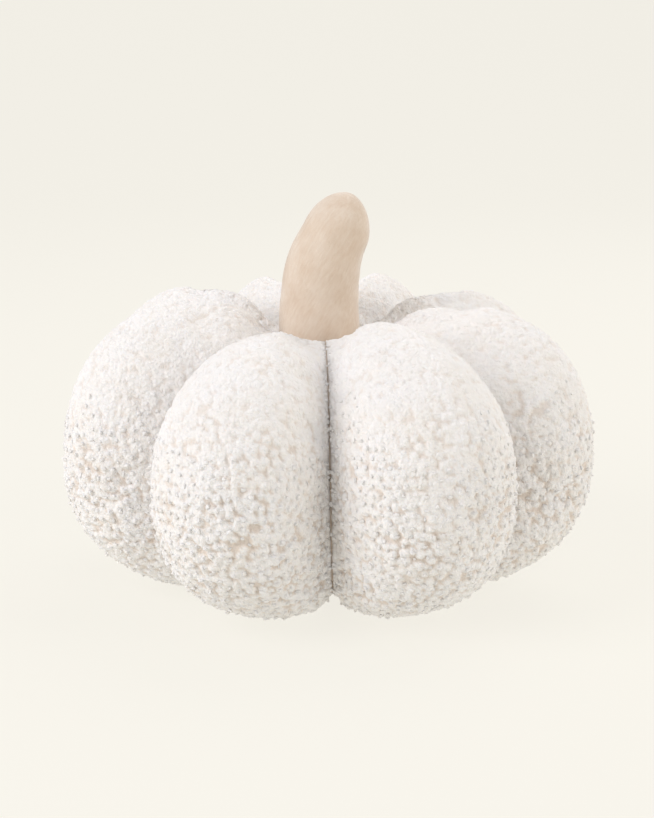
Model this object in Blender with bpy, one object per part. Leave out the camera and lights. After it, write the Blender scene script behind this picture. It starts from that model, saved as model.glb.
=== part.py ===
"""A filled cushion in the shape of a pumpkin, with a bent cloth stem sewn into the dip on top.

The cover is eight leaf-shaped gores of curly pile cloth, sewn edge to edge into one closed skin and filled.
The middle is drawn in above and below, so each gore swells into a lobe between two deep sewn channels.
Metres, +Z up. The object stands on z = 0, the front faces -Y and the middle of its box is the origin.
"""

from math import cos, pi, radians, sin

import bmesh
import bpy
from mathutils import Vector

# Driving dimensions of the filled body
WIDTH = 0.360
LOBES = 8
BELLY_HEIGHT = 0.095
CREST_RADIUS = 0.087
CREST_HEIGHT = 0.203
FOOT_RADIUS = 0.051
FOOT_FLATTENED = 0.004
SHOULDER_ROUNDNESS = 2.2
HAUNCH_ROUNDNESS = 2.27

# The sewn channels, measured on the seam line at their bottom
SEAM_CREST_RADIUS = 0.040
SEAM_BELLY_RADIUS = 0.1235
SEAM_BELLY_HEIGHT = 0.092
SEAM_FOOT_RADIUS = 0.088
SEAM_ROUNDNESS = 2.0

# Where the seams run together, on top under the stem and below
SEAT_RADIUS = 0.0285
SEAT_HEIGHT = 0.153
NAVEL_RADIUS = 0.012
NAVEL_HEIGHT = 0.030
TOP_PULLED_ASIDE = -0.006
BOTTOM_PULLED_ASIDE = 0.004

# How far round its own section a lobe swells before it meets its seams, in degrees
CREST_SWELL = 79.0
BELLY_SWELL = 28.0

# One row for each lobe, from the one to the right of the front seam, round anticlockwise seen from above:
# its reach from the middle at the belly and the height of its crest
LOBE_TABLE = (
    {"name": "front_right", "reach": 0.1835, "crest": 0.1955},
    {"name": "right", "reach": 0.1805, "crest": 0.1980},
    {"name": "back_right_narrow", "reach": 0.1850, "crest": 0.1995},
    {"name": "back_right", "reach": 0.1800, "crest": 0.2030},
    {"name": "back_left", "reach": 0.1850, "crest": 0.2010},
    {"name": "back_left_narrow", "reach": 0.1870, "crest": 0.2020},
    {"name": "left", "reach": 0.1845, "crest": 0.2025},
    {"name": "front_left", "reach": 0.1875, "crest": 0.1895},
)
# One row for each seam, from the front one: its turn from the front, the height of its crest and of its foot
SEAM_TABLE = (
    {"turn": 0.0, "crest": 0.1750, "foot": 0.0180},
    {"turn": 56.5, "crest": 0.1705, "foot": 0.0220},
    {"turn": 103.5, "crest": 0.1700, "foot": 0.0220},
    {"turn": 138.0, "crest": 0.1700, "foot": 0.0215},
    {"turn": 182.0, "crest": 0.1710, "foot": 0.0225},
    {"turn": 224.0, "crest": 0.1700, "foot": 0.0220},
    {"turn": 262.0, "crest": 0.1700, "foot": 0.0210},
    {"turn": 307.0, "crest": 0.1705, "foot": 0.0220},
)

# The stem: height above the seat, sideways and forward place of its middle line, and radius there;
# the tip closes over the last row towards its own point
STEM_TABLE = (
    {"lift": 0.0020, "aside": -0.0066, "forward": 0.000, "radius": 0.0245},
    {"lift": 0.0100, "aside": -0.0068, "forward": 0.000, "radius": 0.0264},
    {"lift": 0.0230, "aside": -0.0078, "forward": 0.000, "radius": 0.0273},
    {"lift": 0.0350, "aside": -0.0080, "forward": 0.000, "radius": 0.0269},
    {"lift": 0.0460, "aside": -0.0075, "forward": 0.000, "radius": 0.0262},
    {"lift": 0.0575, "aside": -0.0066, "forward": 0.001, "radius": 0.0257},
    {"lift": 0.0685, "aside": -0.0042, "forward": 0.002, "radius": 0.0250},
    {"lift": 0.0783, "aside": -0.0006, "forward": 0.003, "radius": 0.0238},
    {"lift": 0.0868, "aside": 0.0029, "forward": 0.004, "radius": 0.0225},
)
STEM_TIP = {"lift": 0.1152, "aside": 0.0128, "forward": 0.006}
STEM_TIP_ROUNDNESS = 1.85
STEM_CLEARANCE = 0.0003

# Mesh steps
DIP_STEPS = 5
SHOULDER_STEPS = 12
HAUNCH_STEPS = 12
UNDERSIDE_STEPS = 6
STEPS_ACROSS_LOBE = 12
STEM_STEPS_PER_ROW = 3
STEM_TIP_STEPS = 12
STEM_SIDES_SETTING = 12

PILE_CLOTH = {"colour": (0.86, 0.82, 0.76, 1.0), "roughness": 0.95, "metallic": 0.0}
STEM_CLOTH = {"colour": (0.74, 0.62, 0.48, 1.0), "roughness": 0.90, "metallic": 0.0}


def clear_scene():
    for old in list(bpy.data.objects):
        bpy.data.objects.remove(old)


def cloth_material(name, look):
    material = bpy.data.materials.new(name)
    material.use_nodes = True
    shader = material.node_tree.nodes["Principled BSDF"]
    shader.inputs["Base Color"].default_value = look["colour"]
    shader.inputs["Roughness"].default_value = look["roughness"]
    shader.inputs["Metallic"].default_value = look["metallic"]
    return material


def quarter_turn(share, roundness):
    """Cosine and sine of a share of a quarter turn, squared off as a superellipse of that roundness."""
    angle = share * pi / 2
    return abs(cos(angle)) ** (2 / roundness), abs(sin(angle)) ** (2 / roundness)


def half_section(crest, belly, foot, shoulder, haunch):
    """Radius and height from the stem's seat over the crest, round the belly and in under to the navel."""
    points = []
    for step in range(DIP_STEPS):
        along, up = quarter_turn(step / DIP_STEPS, 2)
        radius = crest[0] - (crest[0] - SEAT_RADIUS) * along
        points.append((radius, SEAT_HEIGHT + (crest[1] - SEAT_HEIGHT) * up))
    for step in range(SHOULDER_STEPS):
        up, along = quarter_turn(step / SHOULDER_STEPS, shoulder)
        points.append((crest[0] + (belly[0] - crest[0]) * along, belly[1] + (crest[1] - belly[1]) * up))
    for step in range(HAUNCH_STEPS):
        along, down = quarter_turn(step / HAUNCH_STEPS, haunch)
        points.append((foot[0] + (belly[0] - foot[0]) * along, belly[1] + (foot[1] - belly[1]) * down))
    for step in range(UNDERSIDE_STEPS + 1):
        along = cos(step / UNDERSIDE_STEPS * pi / 2)
        radius = NAVEL_RADIUS + (foot[0] - NAVEL_RADIUS) * along
        points.append((radius, foot[1] + (NAVEL_HEIGHT - foot[1]) * (1 - along)))
    return points


def stood_up(section, turn):
    """The section's points in space, on the half plane at that turn from the front."""
    angle = radians(turn)
    outward = Vector((sin(angle), -cos(angle), 0))
    return [outward * radius + Vector((0, 0, height)) for radius, height in section]


def seam_line(row):
    crest = (SEAM_CREST_RADIUS, row["crest"])
    belly = (SEAM_BELLY_RADIUS, SEAM_BELLY_HEIGHT)
    foot = (SEAM_FOOT_RADIUS, row["foot"])
    return stood_up(half_section(crest, belly, foot, SEAM_ROUNDNESS, SEAM_ROUNDNESS), row["turn"])


def crown_line(row, turn):
    crest = (CREST_RADIUS, row["crest"])
    belly = (row["reach"], BELLY_HEIGHT)
    foot = (FOOT_RADIUS, -FOOT_FLATTENED)
    return stood_up(half_section(crest, belly, foot, SHOULDER_ROUNDNESS, HAUNCH_ROUNDNESS), turn)


def across_lobe(left, right, crown, turn):
    """One row of points from the left seam over the lobe's crown to just before the right seam."""
    middle = (left + right) / 2
    half_chord = (right - left) / 2
    rise = crown - middle
    outward = Vector((sin(radians(turn)), -cos(radians(turn)), 0))
    facing_out = max(0.0, rise.normalized().dot(outward))
    end = radians(CREST_SWELL + BELLY_SWELL * facing_out**1.5)
    row = []
    for step in range(STEPS_ACROSS_LOBE):
        share = 2 * step / STEPS_ACROSS_LOBE - 1
        angle = share * end
        sideways = half_chord * (sin(angle) / sin(end))
        upward = rise * ((cos(angle) - cos(end)) / (1 - cos(end)))
        row.append(middle + sideways + upward)
    return row


def drawn_aside(point):
    """The middle of the cushion pulled a little to one side on top and to the other below, as it was sewn."""
    share_up = point.z / CREST_HEIGHT
    pull = BOTTOM_PULLED_ASIDE + (TOP_PULLED_ASIDE - BOTTOM_PULLED_ASIDE) * share_up
    radius = Vector((point.x, point.y)).length
    nearness = max(0.0, 1 - radius / (WIDTH / 2))
    return Vector((point.x + pull * nearness, point.y, max(point.z, 0.0)))


def body_rings():
    """Closed rings of points round the cushion, from the stem's seat down to the navel."""
    seams = [seam_line(row) for row in SEAM_TABLE]
    rings = [[] for _ in seams[0]]
    for number, row in enumerate(LOBE_TABLE):
        following = (number + 1) % LOBES
        turn_on = (SEAM_TABLE[following]["turn"] - SEAM_TABLE[number]["turn"]) % 360
        turn = SEAM_TABLE[number]["turn"] + turn_on / 2
        crown = crown_line(row, turn)
        for ring, left, right, top in zip(rings, seams[number], seams[following], crown):
            ring.extend(drawn_aside(point) for point in across_lobe(left, right, top, turn))
    return rings


def centring(rings):
    """The shift that brings the middle of the body's box to the origin."""
    xs = [point.x for ring in rings for point in ring]
    ys = [point.y for ring in rings for point in ring]
    return Vector((-(min(xs) + max(xs)) / 2, -(min(ys) + max(ys)) / 2, 0))


def lofted_mesh(name, rings):
    """A closed skin through the rings, with a flat face over the first ring and over the last."""
    skin = bmesh.new()
    corners = [[skin.verts.new(point) for point in ring] for ring in rings]
    around = len(corners[0])
    for upper, lower in zip(corners, corners[1:]):
        for place in range(around):
            after = (place + 1) % around
            skin.faces.new((upper[place], lower[place], lower[after], upper[after]))
    skin.faces.new(corners[0])
    skin.faces.new(reversed(corners[-1]))
    bmesh.ops.recalc_face_normals(skin, faces=skin.faces)
    mesh = bpy.data.meshes.new(name)
    skin.to_mesh(mesh)
    skin.free()
    mesh.shade_smooth()
    return mesh


def smooth_between(before, start, end, after, share):
    """A point on the smooth curve from start to end that also heads for its neighbours."""
    return 0.5 * (
        2 * start
        + (end - before) * share
        + (2 * before - 5 * start + 4 * end - after) * share**2
        + (3 * start - before - 3 * end + after) * share**3
    )


def stem_line():
    """Points down the stem's middle with the radius at each, from its seat to its rounded tip."""
    columns = ("aside", "forward", "lift", "radius")
    rows = [Vector([row[column] for column in columns]) for row in STEM_TABLE]
    padded = [2 * rows[0] - rows[1], *rows, 2 * rows[-1] - rows[-2]]
    line = []
    for before, start, end, after in zip(padded, padded[1:], padded[2:], padded[3:]):
        for step in range(STEM_STEPS_PER_ROW):
            line.append(smooth_between(before, start, end, after, step / STEM_STEPS_PER_ROW))
    last = rows[-1]
    to_tip = Vector([STEM_TIP[column] for column in columns[:3]]) - last.to_3d()
    for step in range(STEM_TIP_STEPS):
        shrink, advance = quarter_turn(step / STEM_TIP_STEPS, STEM_TIP_ROUNDNESS)
        centre = last.to_3d() + to_tip * advance
        line.append(Vector((*centre, last.w * shrink)))
    foot = Vector((rows[0].x, rows[0].y, STEM_CLEARANCE, rows[0].w))
    return [(Vector((row.x, -row.y, SEAT_HEIGHT + row.z)), row.w) for row in (foot, *line)]


def stem_curve(name, shift):
    """The stem as a tube whose bevel follows the radius at each point, with both ends closed."""
    curve = bpy.data.curves.new(name, "CURVE")
    curve.dimensions = "3D"
    curve.bevel_depth = 1.0
    curve.bevel_resolution = STEM_SIDES_SETTING
    curve.use_fill_caps = True
    curve.twist_mode = "MINIMUM"
    line = stem_line()
    spline = curve.splines.new("POLY")
    spline.points.add(len(line) - 1)
    for point, (place, radius) in zip(spline.points, line):
        point.co = (*(place + shift), 1.0)
        point.radius = radius
    spline.use_smooth = True
    return curve


def add_part(name, data, material, collection):
    part = bpy.data.objects.new(name, data)
    part.data.materials.append(material)
    collection.objects.link(part)
    return part


def build_pumpkin_cushion():
    clear_scene()
    parts = bpy.data.collections.new("pumpkin_cushion")
    bpy.context.scene.collection.children.link(parts)
    rings = body_rings()
    shift = centring(rings)
    body = lofted_mesh("cushion_body", [[point + shift for point in ring] for ring in rings])
    add_part("cushion_body", body, cloth_material("curly_pile_cloth", PILE_CLOTH), parts)
    stem = stem_curve("stem", shift)
    add_part("stem", stem, cloth_material("brushed_stem_cloth", STEM_CLOTH), parts)


build_pumpkin_cushion()
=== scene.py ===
"""The looks of a pumpkin-shaped cushion: curly off-white pile over a filled body,
and a bent stem of brushed cloth."""

from math import cos, exp, pi, radians, sin

import bmesh
import bpy
import numpy as np
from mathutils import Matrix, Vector


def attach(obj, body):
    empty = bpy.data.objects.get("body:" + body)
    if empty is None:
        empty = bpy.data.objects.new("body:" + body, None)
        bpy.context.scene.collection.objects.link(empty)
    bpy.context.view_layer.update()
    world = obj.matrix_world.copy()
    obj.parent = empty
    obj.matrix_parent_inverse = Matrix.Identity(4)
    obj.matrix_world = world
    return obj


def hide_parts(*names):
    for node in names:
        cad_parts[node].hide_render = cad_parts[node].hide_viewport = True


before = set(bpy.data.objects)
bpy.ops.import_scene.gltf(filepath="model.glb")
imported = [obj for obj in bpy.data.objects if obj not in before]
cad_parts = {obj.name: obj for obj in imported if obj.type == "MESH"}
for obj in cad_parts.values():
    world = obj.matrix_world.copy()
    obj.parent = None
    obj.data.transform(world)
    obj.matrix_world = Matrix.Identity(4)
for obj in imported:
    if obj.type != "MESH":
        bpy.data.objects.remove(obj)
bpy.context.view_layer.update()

# The gores of the cover: eight leaf-shaped pieces of knitted cloth with a curly pile, sewn edge to edge.
# Each swells into a lobe over its share of the filling, and is closed behind by a plain inner wall.
# Their sizes are those of the construction solid; the seams stay put and the cloth between them is inflated.
BELLY_HEIGHT = 0.095
CREST_RADIUS = 0.087
CREST_HEIGHT = 0.203
FOOT_RADIUS = 0.051
FOOT_FLATTENED = 0.004
SHOULDER_ROUNDNESS = 2.2
HAUNCH_ROUNDNESS = 2.27
SEAM_CREST_RADIUS = 0.040
SEAM_BELLY_RADIUS = 0.1235
SEAM_BELLY_HEIGHT = 0.092
SEAM_FOOT_RADIUS = 0.088
SEAM_ROUNDNESS = 2.0
SEAT_RADIUS = 0.0285
SEAT_HEIGHT = 0.153
NAVEL_RADIUS = 0.012
NAVEL_HEIGHT = 0.030
TOP_PULLED_ASIDE = -0.006
BOTTOM_PULLED_ASIDE = 0.004
HALF_WIDTH = 0.180
CREST_SWELL = 79.0
BELLY_SWELL = 28.0
BODY_CENTRING = Vector((0.0009, -0.0002, 0))

# One row for each gore, anticlockwise seen from above: the turn of its two seams from the front,
# its reach at the belly and the height of its crest
GORES = (
    {"name": "gore_front_right", "from": 0, "to": 1, "reach": 0.1835, "crest": 0.1955},
    {"name": "gore_right", "from": 1, "to": 2, "reach": 0.1805, "crest": 0.1980},
    {"name": "gore_back_right_narrow", "from": 2, "to": 3, "reach": 0.1850, "crest": 0.1995},
    {"name": "gore_back_right", "from": 3, "to": 4, "reach": 0.1800, "crest": 0.2030},
    {"name": "gore_back_left", "from": 4, "to": 5, "reach": 0.1850, "crest": 0.2010},
    {"name": "gore_back_left_narrow", "from": 5, "to": 6, "reach": 0.1870, "crest": 0.2020},
    {"name": "gore_left", "from": 6, "to": 7, "reach": 0.1845, "crest": 0.2025},
    {"name": "gore_front_left", "from": 7, "to": 0, "reach": 0.1875, "crest": 0.1895},
)
SEAMS = (
    {"turn": 0.0, "crest": 0.1750, "foot": 0.0180},
    {"turn": 56.5, "crest": 0.1705, "foot": 0.0220},
    {"turn": 103.5, "crest": 0.1700, "foot": 0.0220},
    {"turn": 138.0, "crest": 0.1700, "foot": 0.0215},
    {"turn": 182.0, "crest": 0.1710, "foot": 0.0225},
    {"turn": 224.0, "crest": 0.1700, "foot": 0.0220},
    {"turn": 262.0, "crest": 0.1700, "foot": 0.0210},
    {"turn": 307.0, "crest": 0.1705, "foot": 0.0220},
)
SEAT_ROWS = 3
DIP_ROWS = 11
SHOULDER_ROWS = 26
HAUNCH_ROWS = 30
UNDERSIDE_ROWS = 8
NAVEL_ROWS = 3
# A lobe's cloth is this much longer than the chord between its seams, and has a row of points every step
CLOTH_OVER_CHORD = 1.9
CLOTH_STEP = 0.0058
INNER_WALL_STEPS = 4
INNER_WALL_DEPTH = 0.004
MERGED_WITHIN = 0.00002


def quarter_turn(share, roundness):
    angle = share * pi / 2
    return abs(cos(angle)) ** (2 / roundness), abs(sin(angle)) ** (2 / roundness)


def gore_section(crest, belly, foot, shoulder, haunch):
    """Radius and height from the middle of the seat, over the crest and the belly, to the middle below."""
    points = [(SEAT_RADIUS * step / SEAT_ROWS, SEAT_HEIGHT) for step in range(SEAT_ROWS)]
    for step in range(DIP_ROWS):
        along, up = quarter_turn(step / DIP_ROWS, 2)
        radius = crest[0] - (crest[0] - SEAT_RADIUS) * along
        points.append((radius, SEAT_HEIGHT + (crest[1] - SEAT_HEIGHT) * up))
    for step in range(SHOULDER_ROWS):
        up, along = quarter_turn(step / SHOULDER_ROWS, shoulder)
        points.append((crest[0] + (belly[0] - crest[0]) * along, belly[1] + (crest[1] - belly[1]) * up))
    for step in range(HAUNCH_ROWS):
        along, down = quarter_turn(step / HAUNCH_ROWS, haunch)
        points.append((foot[0] + (belly[0] - foot[0]) * along, belly[1] + (foot[1] - belly[1]) * down))
    for step in range(UNDERSIDE_ROWS):
        along = cos(step / UNDERSIDE_ROWS * pi / 2)
        radius = NAVEL_RADIUS + (foot[0] - NAVEL_RADIUS) * along
        points.append((radius, foot[1] + (NAVEL_HEIGHT - foot[1]) * (1 - along)))
    for step in range(NAVEL_ROWS + 1):
        points.append((NAVEL_RADIUS * (1 - step / NAVEL_ROWS), NAVEL_HEIGHT))
    return points


def stood_up(section, turn):
    outward = Vector((sin(radians(turn)), -cos(radians(turn)), 0))
    return [outward * radius + Vector((0, 0, height)) for radius, height in section]


def seam_line(seam):
    belly = (SEAM_BELLY_RADIUS, SEAM_BELLY_HEIGHT)
    foot = (SEAM_FOOT_RADIUS, seam["foot"])
    crest = (SEAM_CREST_RADIUS, seam["crest"])
    return stood_up(gore_section(crest, belly, foot, SEAM_ROUNDNESS, SEAM_ROUNDNESS), seam["turn"])


def crown_line(gore, turn):
    foot = (FOOT_RADIUS, -FOOT_FLATTENED)
    crest = (CREST_RADIUS, gore["crest"])
    section = gore_section(crest, (gore["reach"], BELLY_HEIGHT), foot, SHOULDER_ROUNDNESS, HAUNCH_ROUNDNESS)
    return stood_up(section, turn)


def drawn_aside(point):
    """The middle of the cushion pulled a little to one side on top and to the other below."""
    pull = BOTTOM_PULLED_ASIDE + (TOP_PULLED_ASIDE - BOTTOM_PULLED_ASIDE) * point.z / CREST_HEIGHT
    nearness = max(0.0, 1 - Vector((point.x, point.y)).length / HALF_WIDTH)
    return Vector((point.x + pull * nearness, point.y, max(point.z, 0.0))) + BODY_CENTRING


def across_gore(left, right, crown, turn, steps):
    """Points from the left seam over the lobe's crown to the right seam."""
    middle = (left + right) / 2
    half_chord = (right - left) / 2
    rise = crown - middle
    outward = Vector((sin(radians(turn)), -cos(radians(turn)), 0))
    facing_out = max(0.0, rise.normalized().dot(outward)) if rise.length > 0 else 0.0
    end = radians(CREST_SWELL + BELLY_SWELL * facing_out**1.5)
    row = []
    for step in range(steps + 1):
        angle = (2 * step / steps - 1) * end
        sideways = half_chord * (sin(angle) / sin(end))
        row.append(middle + sideways + rise * ((cos(angle) - cos(end)) / (1 - cos(end))))
    return row


def gore_mesh(gore):
    """The gore as one closed skin, with its seams creased and each point's distance from them stored."""
    first = SEAMS[gore["from"]]
    second = SEAMS[gore["to"]]
    turn = first["turn"] + (second["turn"] - first["turn"]) % 360 / 2
    seams = list(zip(seam_line(first), seam_line(second), crown_line(gore, turn)))
    widest = max((right - left).length for left, right, _ in seams)
    steps = 2 * round(widest * CLOTH_OVER_CHORD / CLOTH_STEP / 2)
    skin = bmesh.new()
    from_seam = skin.verts.layers.float.new("from_seam")
    rows = []
    for left, right, crown in seams:
        points = [drawn_aside(point) for point in across_gore(left, right, crown, turn, steps)]
        corners = [skin.verts.new(point) for point in points]
        for corner in corners:
            near = min((corner.co - points[0]).length, (corner.co - points[-1]).length)
            corner[from_seam] = near
        rows.append(corners)
    for upper, lower in zip(rows, rows[1:]):
        for place in range(steps):
            skin.faces.new((upper[place], lower[place], lower[place + 1], upper[place + 1]))
    walls = []
    centre = Vector((0, 0, BELLY_HEIGHT))
    for corners in rows:
        wall = [corners[0]]
        for place in range(1, INNER_WALL_STEPS):
            share = place / INNER_WALL_STEPS
            point = corners[0].co.lerp(corners[-1].co, share)
            inward = (centre - point).normalized() * INNER_WALL_DEPTH * sin(share * pi)
            vertex = skin.verts.new(point + inward)
            vertex[from_seam] = 0
            wall.append(vertex)
        walls.append([*wall, corners[-1]])
    for upper, lower in zip(walls, walls[1:]):
        for place in range(INNER_WALL_STEPS):
            skin.faces.new((upper[place + 1], lower[place + 1], lower[place], upper[place]))
    crease = skin.edges.layers.float.new("crease_edge")
    for upper, lower in zip(rows, rows[1:]):
        for place in (0, -1):
            edge = skin.edges.get((upper[place], lower[place]))
            edge[crease] = 1.0
    bmesh.ops.remove_doubles(skin, verts=skin.verts, dist=MERGED_WITHIN)
    bmesh.ops.recalc_face_normals(skin, faces=skin.faces)
    mesh = bpy.data.meshes.new(gore["name"])
    skin.to_mesh(mesh)
    skin.free()
    return mesh


# How the cloth takes its filling, in the words of Blender's own settings
CLOTH_SETTINGS = {
    "quality": 4,
    "mass": 0.15,
    "tension_stiffness": 12,
    "compression_stiffness": 12,
    "shear_stiffness": 4,
    "bending_stiffness": 0.3,
    "use_pressure": True,
    "uniform_pressure_force": 4.0,
    "shrink_min": -0.03,
    "vertex_group_mass": "pinned",
}
LAST_FRAME = 16
START_SHRINK = 0.0028
MOST_SWELL = 0.0030
SWELL_REACH = 0.020
PINNED_FROM_SEAM = 0.0012
PINNED_FROM_FLOOR = 0.001


def inflated(piece):
    """The gore's cloth blown up between its seams, no point moved further than the cap allows."""
    mesh = piece.data
    count = len(mesh.vertices)
    rest = np.empty(count * 3)
    mesh.vertices.foreach_get("co", rest)
    rest = rest.reshape(-1, 3)
    from_seam = np.empty(count)
    mesh.attributes["from_seam"].data.foreach_get("value", from_seam)
    outward = np.empty(count * 3)
    mesh.vertices.foreach_get("normal", outward)
    slack = np.clip(from_seam / SWELL_REACH, 0, 1)[:, None]
    rest -= outward.reshape(-1, 3) * START_SHRINK * slack
    rest[:, 2] = np.maximum(rest[:, 2], 0.0)
    mesh.vertices.foreach_set("co", rest.ravel())
    pinned = piece.vertex_groups.new(name="pinned")
    held = np.flatnonzero((from_seam < PINNED_FROM_SEAM) | (rest[:, 2] < PINNED_FROM_FLOOR))
    pinned.add([int(i) for i in held], 1.0, "REPLACE")
    cloth = piece.modifiers.new("filling", "CLOTH")
    for name, value in CLOTH_SETTINGS.items():
        setattr(cloth.settings, name, value)
    cloth.settings.effector_weights.gravity = 0
    cloth.point_cache.frame_end = LAST_FRAME
    for number in range(1, LAST_FRAME + 1):
        bpy.context.scene.frame_set(number)
    swollen = np.empty(count * 3)
    shown = piece.evaluated_get(bpy.context.evaluated_depsgraph_get())
    shown.data.vertices.foreach_get("co", swollen)
    piece.modifiers.remove(cloth)
    piece.vertex_groups.remove(pinned)
    move = swollen.reshape(-1, 3) - rest
    size = np.linalg.norm(move, axis=1)[:, None]
    move *= np.minimum(size, MOST_SWELL * slack) / np.maximum(size, 1e-9)
    settled = rest + move
    settled[:, 2] = np.maximum(settled[:, 2], 0.0)
    mesh.vertices.foreach_set("co", settled.ravel())
    bpy.context.scene.frame_set(1)


class Tree:
    """Adds nodes to a node tree and joins them, so that a recipe reads from top to bottom."""

    def __init__(self, tree):
        self.tree = tree

    def add(self, kind, inputs=None, **settings):
        node = self.tree.nodes.new(kind)
        for name, value in settings.items():
            setattr(node, name, value)
        for socket, value in (inputs or {}).items():
            self.feed(node.inputs[socket], value)
        return node

    def feed(self, socket, value):
        if isinstance(value, bpy.types.NodeSocket):
            self.tree.links.new(value, socket)
        else:
            socket.default_value = value

    def math(self, operation, *values, clamp=False):
        node = self.tree.nodes.new("ShaderNodeMath")
        node.operation = operation
        node.use_clamp = clamp
        for socket, value in zip(node.inputs, values):
            self.feed(socket, value)
        return node.outputs[0]

    def product(self, first, *others):
        for other in others:
            first = self.math("MULTIPLY", first, other)
        return first

    def vector(self, operation, *values):
        node = self.tree.nodes.new("ShaderNodeVectorMath")
        node.operation = operation
        sockets = [node.inputs[0], node.inputs["Scale"]] if operation == "SCALE" else node.inputs
        for socket, value in zip(sockets, values):
            self.feed(socket, value)
        return node.outputs[0]

    def remap(self, value, low, high, to_low=0.0, to_high=1.0, smooth=False):
        node = self.tree.nodes.new("ShaderNodeMapRange")
        node.interpolation_type = "SMOOTHSTEP" if smooth else "LINEAR"
        given = {"Value": value, "From Min": low, "From Max": high, "To Min": to_low, "To Max": to_high}
        for name, number in given.items():
            self.feed(node.inputs[name], number)
        return node.outputs[0]

    def noise(self, place, scale, detail, output=0):
        inputs = {"Vector": place, "Scale": scale, "Detail": detail}
        return self.add("ShaderNodeTexNoise", inputs).outputs[output]

    def cells(self, place, scale):
        inputs = {"Vector": place, "Scale": scale, "Randomness": 1.0}
        return self.add("ShaderNodeTexVoronoi", inputs).outputs["Distance"]

    def uneven_shift(self, place, scale, detail, reach):
        """A shift that wanders over the surface, by up to half the reach each way."""
        wander = self.vector("SUBTRACT", self.noise(place, scale, detail, "Color"), (0.5, 0.5, 0.5))
        return self.vector("SCALE", wander, reach)

    def blended(self, share, first, second):
        node = self.add("ShaderNodeMix", {"Factor": share}, data_type="RGBA")
        self.feed(node.inputs[6], first)
        self.feed(node.inputs[7], second)
        return node.outputs[2]

    def random_between(self, lowest, highest, whose, seed):
        node = self.add("FunctionNodeRandomValue", {"ID": whose, "Seed": seed}, data_type="FLOAT")
        self.feed(node.inputs[2], lowest)
        self.feed(node.inputs[3], highest)
        return node.outputs[1]

    def scattered(self, cloth, spacing, most, seed, chosen=True):
        inputs = {"Mesh": cloth, "Selection": chosen, "Seed": seed}
        inputs |= {"Distance Min": spacing, "Density Max": most}
        kind = "GeometryNodeDistributePointsOnFaces"
        return self.add(kind, inputs, distribute_method="POISSON").outputs

    def stored(self, cloth, name, value):
        inputs = {"Geometry": cloth, "Name": name, "Value": value}
        kind = "GeometryNodeStoreNamedAttribute"
        return self.add(kind, inputs, data_type="FLOAT", domain="POINT").outputs[0]

    def joined(self, *parts):
        node = self.add("GeometryNodeJoinGeometry")
        for part in parts:
            self.tree.links.new(part, node.inputs[0])
        return node.outputs[0]


PILE_SIZES = {
    "Curl Spacing": 0.0043,
    "Curl Radius": 0.0040,
    "Curl Depth": 0.0032,
    "Loop Size": 0.0026,
    "Loop Depth": 0.0008,
    "Loose Curl Size": 0.0019,
    "Loose Curl Spacing": 0.0058,
    "Seam Curl Spacing": 0.0026,
}
CURL_WIDTHS = (0.92, 1.25)
CURL_HEIGHTS = (0.60, 1.0)
MOST_CURLS_PER_SQUARE_METRE = 120000.0
# Uneven shifts of the curls and of the skin of loose curls, and the patches of deeper and flatter pile
DRIFT_FINENESS = 230.0
DRIFT_REACH = 0.0032
RUFFLE_FINENESS = 620.0
RUFFLE_REACH = 0.0013
PATCH_FINENESS = 28.0
PATCH_DEPTHS = (0.75, 1.10)
# The pile gets flatter from the first height to the second, where this share of its depth is left
FLATTER_FROM = 0.08
FLATTEST_FROM = 0.17
FLATTEST_SHARE = 0.46
# Along a seam the pile is pressed flat: the share of its depth there, and how far off it is full again
SHARE_AT_SEAM = 0.15
FULL_FROM_SEAM = 0.0025
# Painted shade along each seam: how much of the darker pocket colour the pile takes right at the seam, and
# the distances over which it fades out
SEAM_SHADE = 0.8
SEAM_SHADE_REACH = (0.0002, 0.0018)
# How far from a curl's middle the painted shade of a pocket starts, and where it is fully dark, as shares of
# the curl's radius
POCKET_SHADE_SHARES = (0.72, 1.10)
# Loose curls stand up to this height, unevenly; closer to a seam than this they are the seam's own
LOOSE_CURLS_TOP = 0.135
LOOSE_CURLS_TOP_UNEVEN = 0.03
LOOSE_CURLS_FLATTER_FROM = 0.09
LOOSE_CURLS_FLATTEST_SHARE = 0.72
SEAM_CURLS_REACH = 0.0030
CLEAR_OF_INNER_WALL = 0.0007
MOST_LOOSE_CURLS_PER_SQUARE_METRE = 200000.0
LOOSE_CURL_SIDES = 6
LOOSE_CURL_ROWS = 4
SMALLEST_LOOSE_CURL = 0.45
SMALLEST_SEAM_CURL = 0.60
LARGEST_LOOSE_CURL = (1.25, 1.10, 0.80)
LOOSE_CURL_FLATNESS = 0.7


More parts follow.
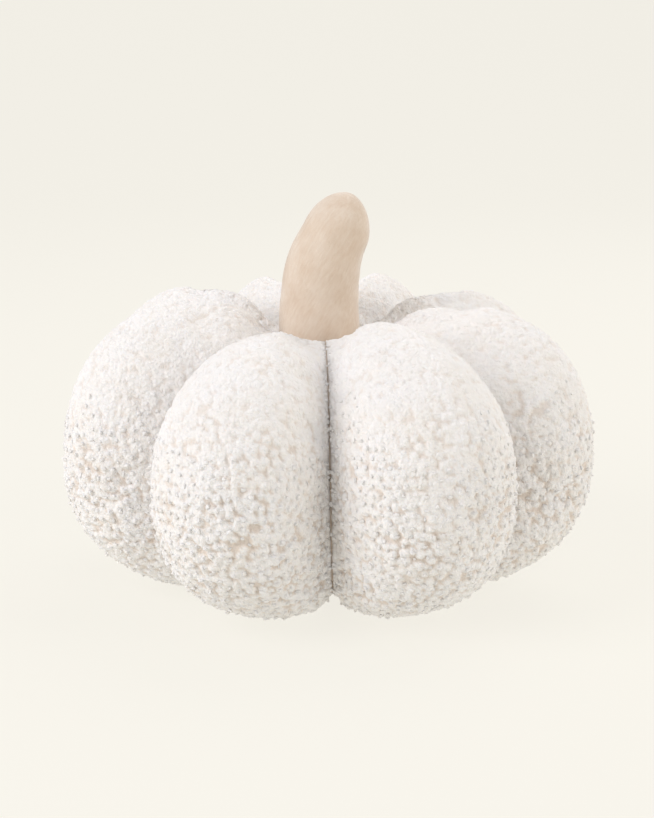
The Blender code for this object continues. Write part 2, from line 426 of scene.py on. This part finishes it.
def curled_cloth(tree, given, place, height, from_seam, patches):
    """The cloth sunk between its curls, with painted shade stored for its colour, darkest deep in the pockets
    and along the seams.
    """
    normal = tree.add("GeometryNodeInputNormal").outputs[0]
    bent = tree.vector("ADD", place, tree.uneven_shift(place, DRIFT_FINENESS, 1.0, DRIFT_REACH))
    curls = tree.scattered(given["Cloth"], given["Curl Spacing"], MOST_CURLS_PER_SQUARE_METRE, given["Seed"])
    nearest = {"Geometry": curls["Points"], "Sample Position": bent}
    distance = tree.add("GeometryNodeProximity", nearest, target_element="POINTS").outputs["Distance"]
    whose = tree.add("GeometryNodeSampleNearest", nearest, domain="POINT").outputs[0]
    radius = tree.product(given["Curl Radius"], tree.random_between(*CURL_WIDTHS, whose, 3))
    share = tree.math("DIVIDE", distance, radius)
    dome = tree.math("SUBTRACT", 1.0, tree.product(share, share), clamp=True)
    dome = tree.product(dome, tree.random_between(*CURL_HEIGHTS, whose, 7))
    loop = tree.cells(bent, tree.math("DIVIDE", 1.0, given["Loop Size"]))
    loop = tree.remap(loop, 0.1, 0.9, 1.0, 0.0)
    off_seam = tree.remap(from_seam, 0.0, FULL_FROM_SEAM, SHARE_AT_SEAM, 1.0, smooth=True)
    flatter = tree.remap(height, FLATTER_FROM, FLATTEST_FROM, 1.0, FLATTEST_SHARE, smooth=True)
    depth = tree.product(flatter, tree.remap(patches, 0.35, 0.65, *PATCH_DEPTHS))
    between_curls = tree.math("SUBTRACT", dome, 1.0)
    between_curls = tree.product(between_curls, given["Curl Depth"], tree.product(depth, off_seam))
    between_loops = tree.product(tree.math("SUBTRACT", loop, 1.0), given["Loop Depth"], off_seam)
    offset = tree.vector("SCALE", normal, tree.math("ADD", between_curls, between_loops))
    sunk = tree.add("GeometryNodeSetPosition", {"Geometry": given["Cloth"], "Offset": offset}).outputs[0]
    # Mostly painted shade, partly the cloth's warmer ground: the colour darkens and warms deep in the pockets
    # between the curls
    pocket_shade = tree.product(tree.remap(share, *POCKET_SHADE_SHARES, smooth=True), depth)
    # Painted shade in a band along each seam, where its groove lies
    painted_seam_shade = tree.remap(from_seam, *SEAM_SHADE_REACH, SEAM_SHADE, 0.0, smooth=True)
    return tree.stored(sunk, "pocket_shade", tree.math("MAXIMUM", pocket_shade, painted_seam_shade))


def loose_curls(tree, given, cloth, place, height, from_seam, patches):
    """Single curls that stand proud of the others, on the lower half and along the seams."""
    sizes = {"Segments": LOOSE_CURL_SIDES, "Rings": LOOSE_CURL_ROWS, "Radius": 1.0}
    lump = tree.add("GeometryNodeMeshUVSphere", sizes).outputs["Mesh"]
    off_wall = tree.math("GREATER_THAN", from_seam, CLEAR_OF_INNER_WALL)
    by_seam = tree.product(off_wall, tree.math("LESS_THAN", from_seam, SEAM_CURLS_REACH))
    uneven = tree.remap(patches, 0.3, 0.7, -LOOSE_CURLS_TOP_UNEVEN, LOOSE_CURLS_TOP_UNEVEN)
    low_down = tree.math("LESS_THAN", tree.math("ADD", height, uneven), LOOSE_CURLS_TOP)
    in_field = tree.product(tree.math("GREATER_THAN", from_seam, SEAM_CURLS_REACH), low_down)
    flatter = tree.remap(
        height, LOOSE_CURLS_FLATTER_FROM, FLATTEST_FROM, 1.0, LOOSE_CURLS_FLATTEST_SHARE, smooth=True
    )
    size = tree.product(given["Loose Curl Size"], flatter)
    kinds = []
    for chosen, spacing, smallest in (
        (in_field, given["Loose Curl Spacing"], SMALLEST_LOOSE_CURL),
        (by_seam, given["Seam Curl Spacing"], SMALLEST_SEAM_CURL),
    ):
        spots = tree.scattered(cloth, spacing, MOST_LOOSE_CURLS_PER_SQUARE_METRE, given["Seed"], chosen)
        shape = tree.add("FunctionNodeRandomValue", {"Seed": 11}, data_type="FLOAT_VECTOR")
        shape.inputs[0].default_value = (smallest, smallest, smallest * LOOSE_CURL_FLATNESS)
        shape.inputs[1].default_value = LARGEST_LOOSE_CURL
        curl = {
            "Points": spots["Points"],
            "Instance": lump,
            "Rotation": spots["Rotation"],
            "Scale": tree.vector("SCALE", shape.outputs[0], size),
        }
        kinds.append(tree.add("GeometryNodeInstanceOnPoints", curl).outputs[0])
    lumps = tree.add("GeometryNodeRealizeInstances", {"Geometry": tree.joined(*kinds)}).outputs[0]
    ruffle = tree.uneven_shift(place, RUFFLE_FINENESS, 0.0, RUFFLE_REACH)
    lumps = tree.add("GeometryNodeSetPosition", {"Geometry": lumps, "Offset": ruffle}).outputs[0]
    # The loose curls take none of the painted pocket shade
    return tree.stored(lumps, "pocket_shade", 0.0)


def pile_tree(material):
    """Raises the pile: rounded, uneven curls with pockets between them, and small loops on each curl."""
    group = bpy.data.node_groups.new("raise_curly_pile", "GeometryNodeTree")
    group.interface.new_socket("Cloth", in_out="INPUT", socket_type="NodeSocketGeometry")
    for name, size in PILE_SIZES.items():
        group.interface.new_socket(name, in_out="INPUT", socket_type="NodeSocketFloat").default_value = size
    group.interface.new_socket("Seed", in_out="INPUT", socket_type="NodeSocketInt").default_value = 1
    group.interface.new_socket("Pile", in_out="OUTPUT", socket_type="NodeSocketGeometry")
    tree = Tree(group)
    given = tree.add("NodeGroupInput").outputs
    place = tree.add("GeometryNodeInputPosition").outputs[0]
    apart = tree.add("ShaderNodeSeparateXYZ", {"Vector": place}).outputs
    height = apart["Z"]
    from_seam = tree.add("GeometryNodeInputNamedAttribute", {"Name": "from_seam"}, data_type="FLOAT")
    from_seam = from_seam.outputs["Attribute"]
    patches = tree.noise(place, PATCH_FINENESS, 2.0)
    cloth = curled_cloth(tree, given, place, height, from_seam, patches)
    curls = loose_curls(tree, given, cloth, place, height, from_seam, patches)
    above_floor = {"X": apart["X"], "Y": apart["Y"], "Z": tree.math("MAXIMUM", height, 0.0)}
    above_floor = tree.add("ShaderNodeCombineXYZ", above_floor).outputs[0]
    whole = {"Geometry": tree.joined(cloth, curls), "Position": above_floor}
    whole = tree.add("GeometryNodeSetPosition", whole).outputs[0]
    whole = tree.add("GeometryNodeRealizeInstances", {"Geometry": whole}).outputs[0]
    dressed = tree.add("GeometryNodeSetMaterial", {"Geometry": whole, "Material": material}).outputs[0]
    tree.add("NodeGroupOutput", {"Pile": dressed})
    return group


def new_material(name, finish):
    """A material and its shader, with the parts of its finish that are the same all over."""
    material = bpy.data.materials.new(name)
    material.use_nodes = True
    shader = material.node_tree.nodes["Principled BSDF"]
    for socket, value in finish.items():
        shader.inputs[socket].default_value = value
    return material, shader


CURL_COLOURS = ((0.93, 0.91, 0.90, 1), (0.915, 0.885, 0.855, 1))
# Painted shade deep in the pockets between the curls, partly the cloth's warmer ground there: its colour, and
# the most of it that any point takes
POCKET_PAINTED_SHADE = (0.73, 0.60, 0.485, 1)
POCKET_PAINTED_SHADE_SHARE = 0.60
MOTTLE_FINENESS = 45.0
YARN_LOOP_FINENESS = 430.0
YARN_FUZZ_FINENESS = 1100.0
YARN_FUZZ_SHARE = 0.7
PILE_FINISH = {
    "Roughness": 0.95,
    "Specular IOR Level": 0.15,
    "Sheen Weight": 0.25,
    "Sheen Roughness": 0.6,
    "Subsurface Weight": 0.25,
    "Subsurface Radius": (1.0, 0.9, 0.8),
    "Subsurface Scale": 0.0025,
}


def pile_cloth():
    """Off-white curly pile: pale curl tops, warm shade painted down in the creases and along the seams, and a
    soft fuzz.
    """
    material, shader = new_material("curly_pile_cloth", PILE_FINISH)
    tree = Tree(material.node_tree)
    place = tree.add("ShaderNodeTexCoord").outputs["Object"]
    pocket_shade = tree.add("ShaderNodeAttribute", attribute_name="pocket_shade").outputs["Fac"]
    mottle = tree.noise(place, MOTTLE_FINENESS, 3.0)
    tops = tree.blended(tree.remap(mottle, 0.35, 0.65), *CURL_COLOURS)
    # The painted shade stored with the pile turns the colour towards the darker, warmer shade colour in the
    # pockets and along the seams
    depth = tree.remap(pocket_shade, 0.0, 1.0, 0.0, POCKET_PAINTED_SHADE_SHARE)
    tree.feed(shader.inputs["Base Color"], tree.blended(depth, tops, POCKET_PAINTED_SHADE))
    fuzz = tree.product(tree.noise(place, YARN_FUZZ_FINENESS, 3.0), YARN_FUZZ_SHARE)
    relief = tree.math("SUBTRACT", fuzz, tree.cells(place, YARN_LOOP_FINENESS))
    bump = tree.add("ShaderNodeBump", {"Height": relief, "Strength": 0.9, "Distance": 0.0011}).outputs[0]
    tree.feed(shader.inputs["Normal"], bump)
    return material


def show(name, data):
    piece = bpy.data.objects.new(name, data)
    bpy.context.scene.collection.objects.link(piece)
    return piece


def made_plain(piece, name):
    """The piece as its modifiers show it, as a plain mesh with no modifier left."""
    shown = piece.evaluated_get(bpy.context.evaluated_depsgraph_get())
    mesh = bpy.data.meshes.new_from_object(shown)
    bpy.data.objects.remove(piece)
    mesh.name = name
    mesh.shade_smooth()
    return show(name, mesh)


def add_subdivision(piece, levels):
    finer = piece.modifiers.new("finer", "SUBSURF")
    finer.levels = levels
    finer.render_levels = levels


pile_material = pile_cloth()
raise_pile = pile_tree(pile_material)
cages = [show(gore["name"] + "_cage", gore_mesh(gore)) for gore in GORES]
for cage in cages:
    inflated(cage)
seed_socket = next(item.identifier for item in raise_pile.interface.items_tree if item.name == "Seed")
for number, (gore, cage) in enumerate(zip(GORES, cages)):
    add_subdivision(cage, 2)
    pile = cage.modifiers.new("pile", "NODES")
    pile.node_group = raise_pile
    pile[seed_socket] = number + 1
    piece = made_plain(cage, gore["name"])
    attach(piece, "root")
    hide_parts("cushion_body")

# The seam threads: one tan thread sewn down each of the eight seams, sunk between the curls of its two gores.
THREAD_RADIUS = 0.0008
THREAD_SUNK = 0.0009
THREAD_FINISH = {"Base Color": (0.58, 0.46, 0.36, 1), "Roughness": 0.9}


def thread_mesh():
    seams = bpy.data.curves.new("seam_threads", "CURVE")
    seams.dimensions = "3D"
    seams.bevel_depth = THREAD_RADIUS
    seams.bevel_resolution = 2
    seams.use_fill_caps = True
    centre = Vector((0, 0, BELLY_HEIGHT))
    for seam in SEAMS:
        places = [drawn_aside(point) for point in seam_line(seam)][SEAT_ROWS:-NAVEL_ROWS]
        spline = seams.splines.new("POLY")
        spline.points.add(len(places) - 1)
        for point, place in zip(spline.points, places):
            point.co = (*(place + (centre - place).normalized() * THREAD_SUNK), 1)
    return made_plain(show("seam_threads", seams), "seam_threads")


threads = thread_mesh()
threads.data.materials.append(new_material("seam_thread", THREAD_FINISH)[0])
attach(threads, "root")

# The stem: a tube of beige cloth with a short brushed nap, filled, and closed by a gather at its tip.
# It leans over to one side and is sewn by hand into the dip where the gores run together.
# One row for each place along its middle line: height above the seat, sideways and forward place, radius
STEM_ROWS = (
    {"lift": 0.0020, "aside": -0.0066, "forward": 0.000, "radius": 0.0245},
    {"lift": 0.0100, "aside": -0.0068, "forward": 0.000, "radius": 0.0264},
    {"lift": 0.0230, "aside": -0.0078, "forward": 0.000, "radius": 0.0273},
    {"lift": 0.0350, "aside": -0.0080, "forward": 0.000, "radius": 0.0269},
    {"lift": 0.0460, "aside": -0.0075, "forward": 0.000, "radius": 0.0262},
    {"lift": 0.0575, "aside": -0.0066, "forward": 0.001, "radius": 0.0257},
    {"lift": 0.0685, "aside": -0.0042, "forward": 0.002, "radius": 0.0250},
    {"lift": 0.0783, "aside": -0.0006, "forward": 0.003, "radius": 0.0238},
    {"lift": 0.0868, "aside": 0.0029, "forward": 0.004, "radius": 0.0225},
)
STEM_TIP = {"lift": 0.1152, "aside": 0.0128, "forward": 0.006}
STEM_TIP_ROUNDNESS = 1.85
STEM_SIDES = 120
STEM_STEPS_PER_ROW = 9
STEM_TIP_STEPS = 36
# Dents pressed into the filled stem: where round it and how far up, how wide, how deep
DENTS = (
    {"name": "bend", "side": 285, "lift": 0.085, "width": 0.010, "depth": 0.0016},
    {"name": "pinch", "side": 350, "lift": 0.079, "width": 0.008, "depth": 0.0012},
    {"name": "foot", "side": 262, "lift": 0.018, "width": 0.012, "depth": 0.0008},
)
TIP_PLEATS = 7
TIP_PLEAT_DEPTH = 0.0009


def smooth_between(before, start, end, after, share):
    return 0.5 * (
        2 * start
        + (end - before) * share
        + (2 * before - 5 * start + 4 * end - after) * share**2
        + (3 * start - before - 3 * end + after) * share**3
    )


def stem_line():
    """Places down the stem's middle with the radius at each, from its foot to its rounded tip."""
    columns = ("aside", "forward", "lift", "radius")
    rows = [Vector([row[column] for column in columns]) for row in STEM_ROWS]
    padded = [2 * rows[0] - rows[1], *rows, 2 * rows[-1] - rows[-2]]
    line = []
    for before, start, end, after in zip(padded, padded[1:], padded[2:], padded[3:]):
        for step in range(STEM_STEPS_PER_ROW):
            line.append(smooth_between(before, start, end, after, step / STEM_STEPS_PER_ROW))
    last = rows[-1]
    to_tip = Vector([STEM_TIP[column] for column in columns[:3]]) - last.to_3d()
    for step in range(STEM_TIP_STEPS + 1):
        shrink, advance = quarter_turn(step / STEM_TIP_STEPS, STEM_TIP_ROUNDNESS)
        centre = last.to_3d() + to_tip * advance
        line.append(Vector((*centre, last.w * shrink)))
    return [(Vector((row.x, -row.y, SEAT_HEIGHT + row.z)) + BODY_CENTRING, row.w) for row in line]


def stem_mesh():
    line = stem_line()
    skin = bmesh.new()
    rings = []
    tip = len(line) - 1
    for number, (centre, radius) in enumerate(line):
        before = line[max(number - 1, 0)][0]
        after = line[min(number + 1, len(line) - 1)][0]
        heading = Vector((0, 0, 1)) if number == 0 else (after - before).normalized()
        side = heading.cross(Vector((0, 1, 0))).normalized() * -1
        ahead = heading.cross(side)
        ring = []
        pleated = max(0.0, 1 - (tip - number) / STEM_TIP_STEPS) * (1 - (number == tip))
        for place in range(STEM_SIDES):
            angle = 2 * pi * place / STEM_SIDES
            pressed = TIP_PLEAT_DEPTH * pleated**2 * (0.5 + 0.5 * cos(TIP_PLEATS * angle))
            lift = centre.z - SEAT_HEIGHT
            for dent in DENTS:
                turned = (angle - radians(dent["side"]) + pi) % (2 * pi) - pi
                away = ((turned * radius) ** 2 + (lift - dent["lift"]) ** 2) / dent["width"] ** 2
                pressed += dent["depth"] * exp(-away)
            reach = max(radius - pressed, 0.0)
            ring.append(skin.verts.new(centre + (side * cos(angle) + ahead * sin(angle)) * reach))
        rings.append(ring)
    for lower, upper in zip(rings, rings[1:]):
        for place in range(STEM_SIDES):
            after = (place + 1) % STEM_SIDES
            skin.faces.new((lower[place], lower[after], upper[after], upper[place]))
    skin.faces.new(reversed(rings[0]))
    bmesh.ops.remove_doubles(skin, verts=skin.verts, dist=MERGED_WITHIN)
    bmesh.ops.recalc_face_normals(skin, faces=skin.faces)
    mesh = bpy.data.meshes.new("stem_cloth")
    skin.to_mesh(mesh)
    skin.free()
    mesh.shade_smooth()
    return mesh


# How far the nap leans, in degrees, and the width of its strokes as a share of their length
NAP_LEAN = -32
STROKE_SHARE = 0.22
STROKE_FINENESS = 620.0
STEM_MOTTLE_FINENESS = 75.0
NAP_FUZZ_FINENESS = 1500.0
NAP_FUZZ_SHARE = 0.6
STEM_COLOURS = ((0.66, 0.53, 0.415, 1), (0.74, 0.635, 0.53, 1))
STEM_FINISH = {
    "Roughness": 0.9,
    "Specular IOR Level": 0.2,
    "Sheen Weight": 0.6,
    "Sheen Roughness": 0.45,
}


def stem_cloth():
    """Beige cloth with a short nap brushed to one side, paler and darker in soft strokes."""
    material, shader = new_material("brushed_stem_cloth", STEM_FINISH)
    tree = Tree(material.node_tree)
    place = tree.add("ShaderNodeTexCoord").outputs["Object"]
    lean = {"Vector": place, "Rotation": (0, radians(NAP_LEAN), 0)}
    leaning = tree.add("ShaderNodeMapping", lean).outputs[0]
    strokes = tree.vector("MULTIPLY", leaning, (1, 1, STROKE_SHARE))
    streaks = tree.noise(strokes, STROKE_FINENESS, 3.0)
    mottle = tree.noise(place, STEM_MOTTLE_FINENESS, 2.0)
    mixed = tree.math("ADD", tree.product(streaks, 0.5), tree.product(mottle, 0.5))
    tree.feed(shader.inputs["Base Color"], tree.blended(tree.remap(mixed, 0.34, 0.66), *STEM_COLOURS))
    fuzz = tree.product(tree.noise(place, NAP_FUZZ_FINENESS, 2.0), NAP_FUZZ_SHARE)
    relief = tree.math("ADD", streaks, fuzz)
    bump = tree.add("ShaderNodeBump", {"Height": relief, "Strength": 0.55, "Distance": 0.0007}).outputs[0]
    tree.feed(shader.inputs["Normal"], bump)
    return material


stem = show("stem_cloth", stem_mesh())
stem.data.materials.append(stem_cloth())
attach(stem, "root")
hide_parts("stem")

# The studio: one pale sheet that is floor and backdrop, a broad soft light from the upper left,
# a weaker one from the right, and the camera at the photograph's angle with an 85 mm lens.
LOOK_AT = Vector((0.001, 0, 0.1))
CAMERA_ELEVATION = 13.4
CAMERA_DISTANCE = 1.326
CAMERA_LENS = 85
SHIFT_ACROSS = -0.0049
SHIFT_UP = 0.0351
SHEET_HALF_WIDTH = 4.0
SHEET_FRONT = -4.0
SHEET_BEND = 2.2
SHEET_BEND_RADIUS = 1.6
SHEET_TOP = 4.0
BEND_STEPS = 24
PAPER_FINISH = {
    "Base Color": (0.14, 0.137, 0.128, 1),
    "Roughness": 1.0,
    "Specular IOR Level": 0.0,
    "Emission Color": (0.922, 0.896, 0.823, 1),
    "Emission Strength": 0.85,
}
LIGHT_SIZE = 1.6
LIGHTS = (
    {"name": "key", "place": (-1.7, -0.95, 1.2), "power": 31, "colour": (0.99, 0.975, 1.0)},
    {"name": "fill", "place": (1.8, -0.7, 0.9), "power": 15, "colour": (1.0, 0.95, 0.895)},
    {"name": "behind", "place": (0.7, 1.0, 1.7), "power": 14, "colour": (1.0, 0.97, 0.96)},
)
SURROUND_COLOUR = (1.0, 0.99, 0.985, 1)
SURROUND_STRENGTH = 0.50


def sweep_mesh():
    outline = [(SHEET_FRONT, 0.0)]
    for step in range(BEND_STEPS + 1):
        angle = step / BEND_STEPS * pi / 2
        outline.append((SHEET_BEND + SHEET_BEND_RADIUS * sin(angle), SHEET_BEND_RADIUS * (1 - cos(angle))))
    outline.append((SHEET_BEND + SHEET_BEND_RADIUS, SHEET_TOP))
    sheet = bmesh.new()
    edges = [[sheet.verts.new((x, y, z)) for y, z in outline] for x in (-SHEET_HALF_WIDTH, SHEET_HALF_WIDTH)]
    for place in range(len(outline) - 1):
        sheet.faces.new((edges[0][place], edges[1][place], edges[1][place + 1], edges[0][place + 1]))
    mesh = bpy.data.meshes.new("pale_sheet")
    sheet.to_mesh(mesh)
    sheet.free()
    mesh.shade_smooth()
    return mesh


def add_soft_light(given):
    light = bpy.data.lights.new(given["name"], "AREA")
    light.size = LIGHT_SIZE
    light.energy = given["power"]
    light.color = given["colour"]
    lamp = show(given["name"], light)
    lamp.location = given["place"]
    lamp.rotation_euler = (Vector(given["place"]) - LOOK_AT).to_track_quat("Z", "Y").to_euler()


paper_sheet = show("pale_sheet", sweep_mesh())
paper_sheet.data.materials.append(new_material("pale_paper", PAPER_FINISH)[0])
for light in LIGHTS:
    add_soft_light(light)
world = bpy.data.worlds.new("studio")
world.use_nodes = True
world.node_tree.nodes["Background"].inputs["Color"].default_value = SURROUND_COLOUR
world.node_tree.nodes["Background"].inputs["Strength"].default_value = SURROUND_STRENGTH
bpy.context.scene.world = world
bpy.context.scene.view_settings.view_transform = "Standard"

lens = bpy.data.cameras.new("camera")
lens.lens = CAMERA_LENS
lens.shift_x = SHIFT_ACROSS
lens.shift_y = SHIFT_UP
camera = show("camera", lens)
away = Vector((0, -cos(radians(CAMERA_ELEVATION)), sin(radians(CAMERA_ELEVATION))))
camera.location = LOOK_AT + away * CAMERA_DISTANCE
camera.rotation_euler = away.to_track_quat("Z", "Y").to_euler()
bpy.context.scene.camera = camera
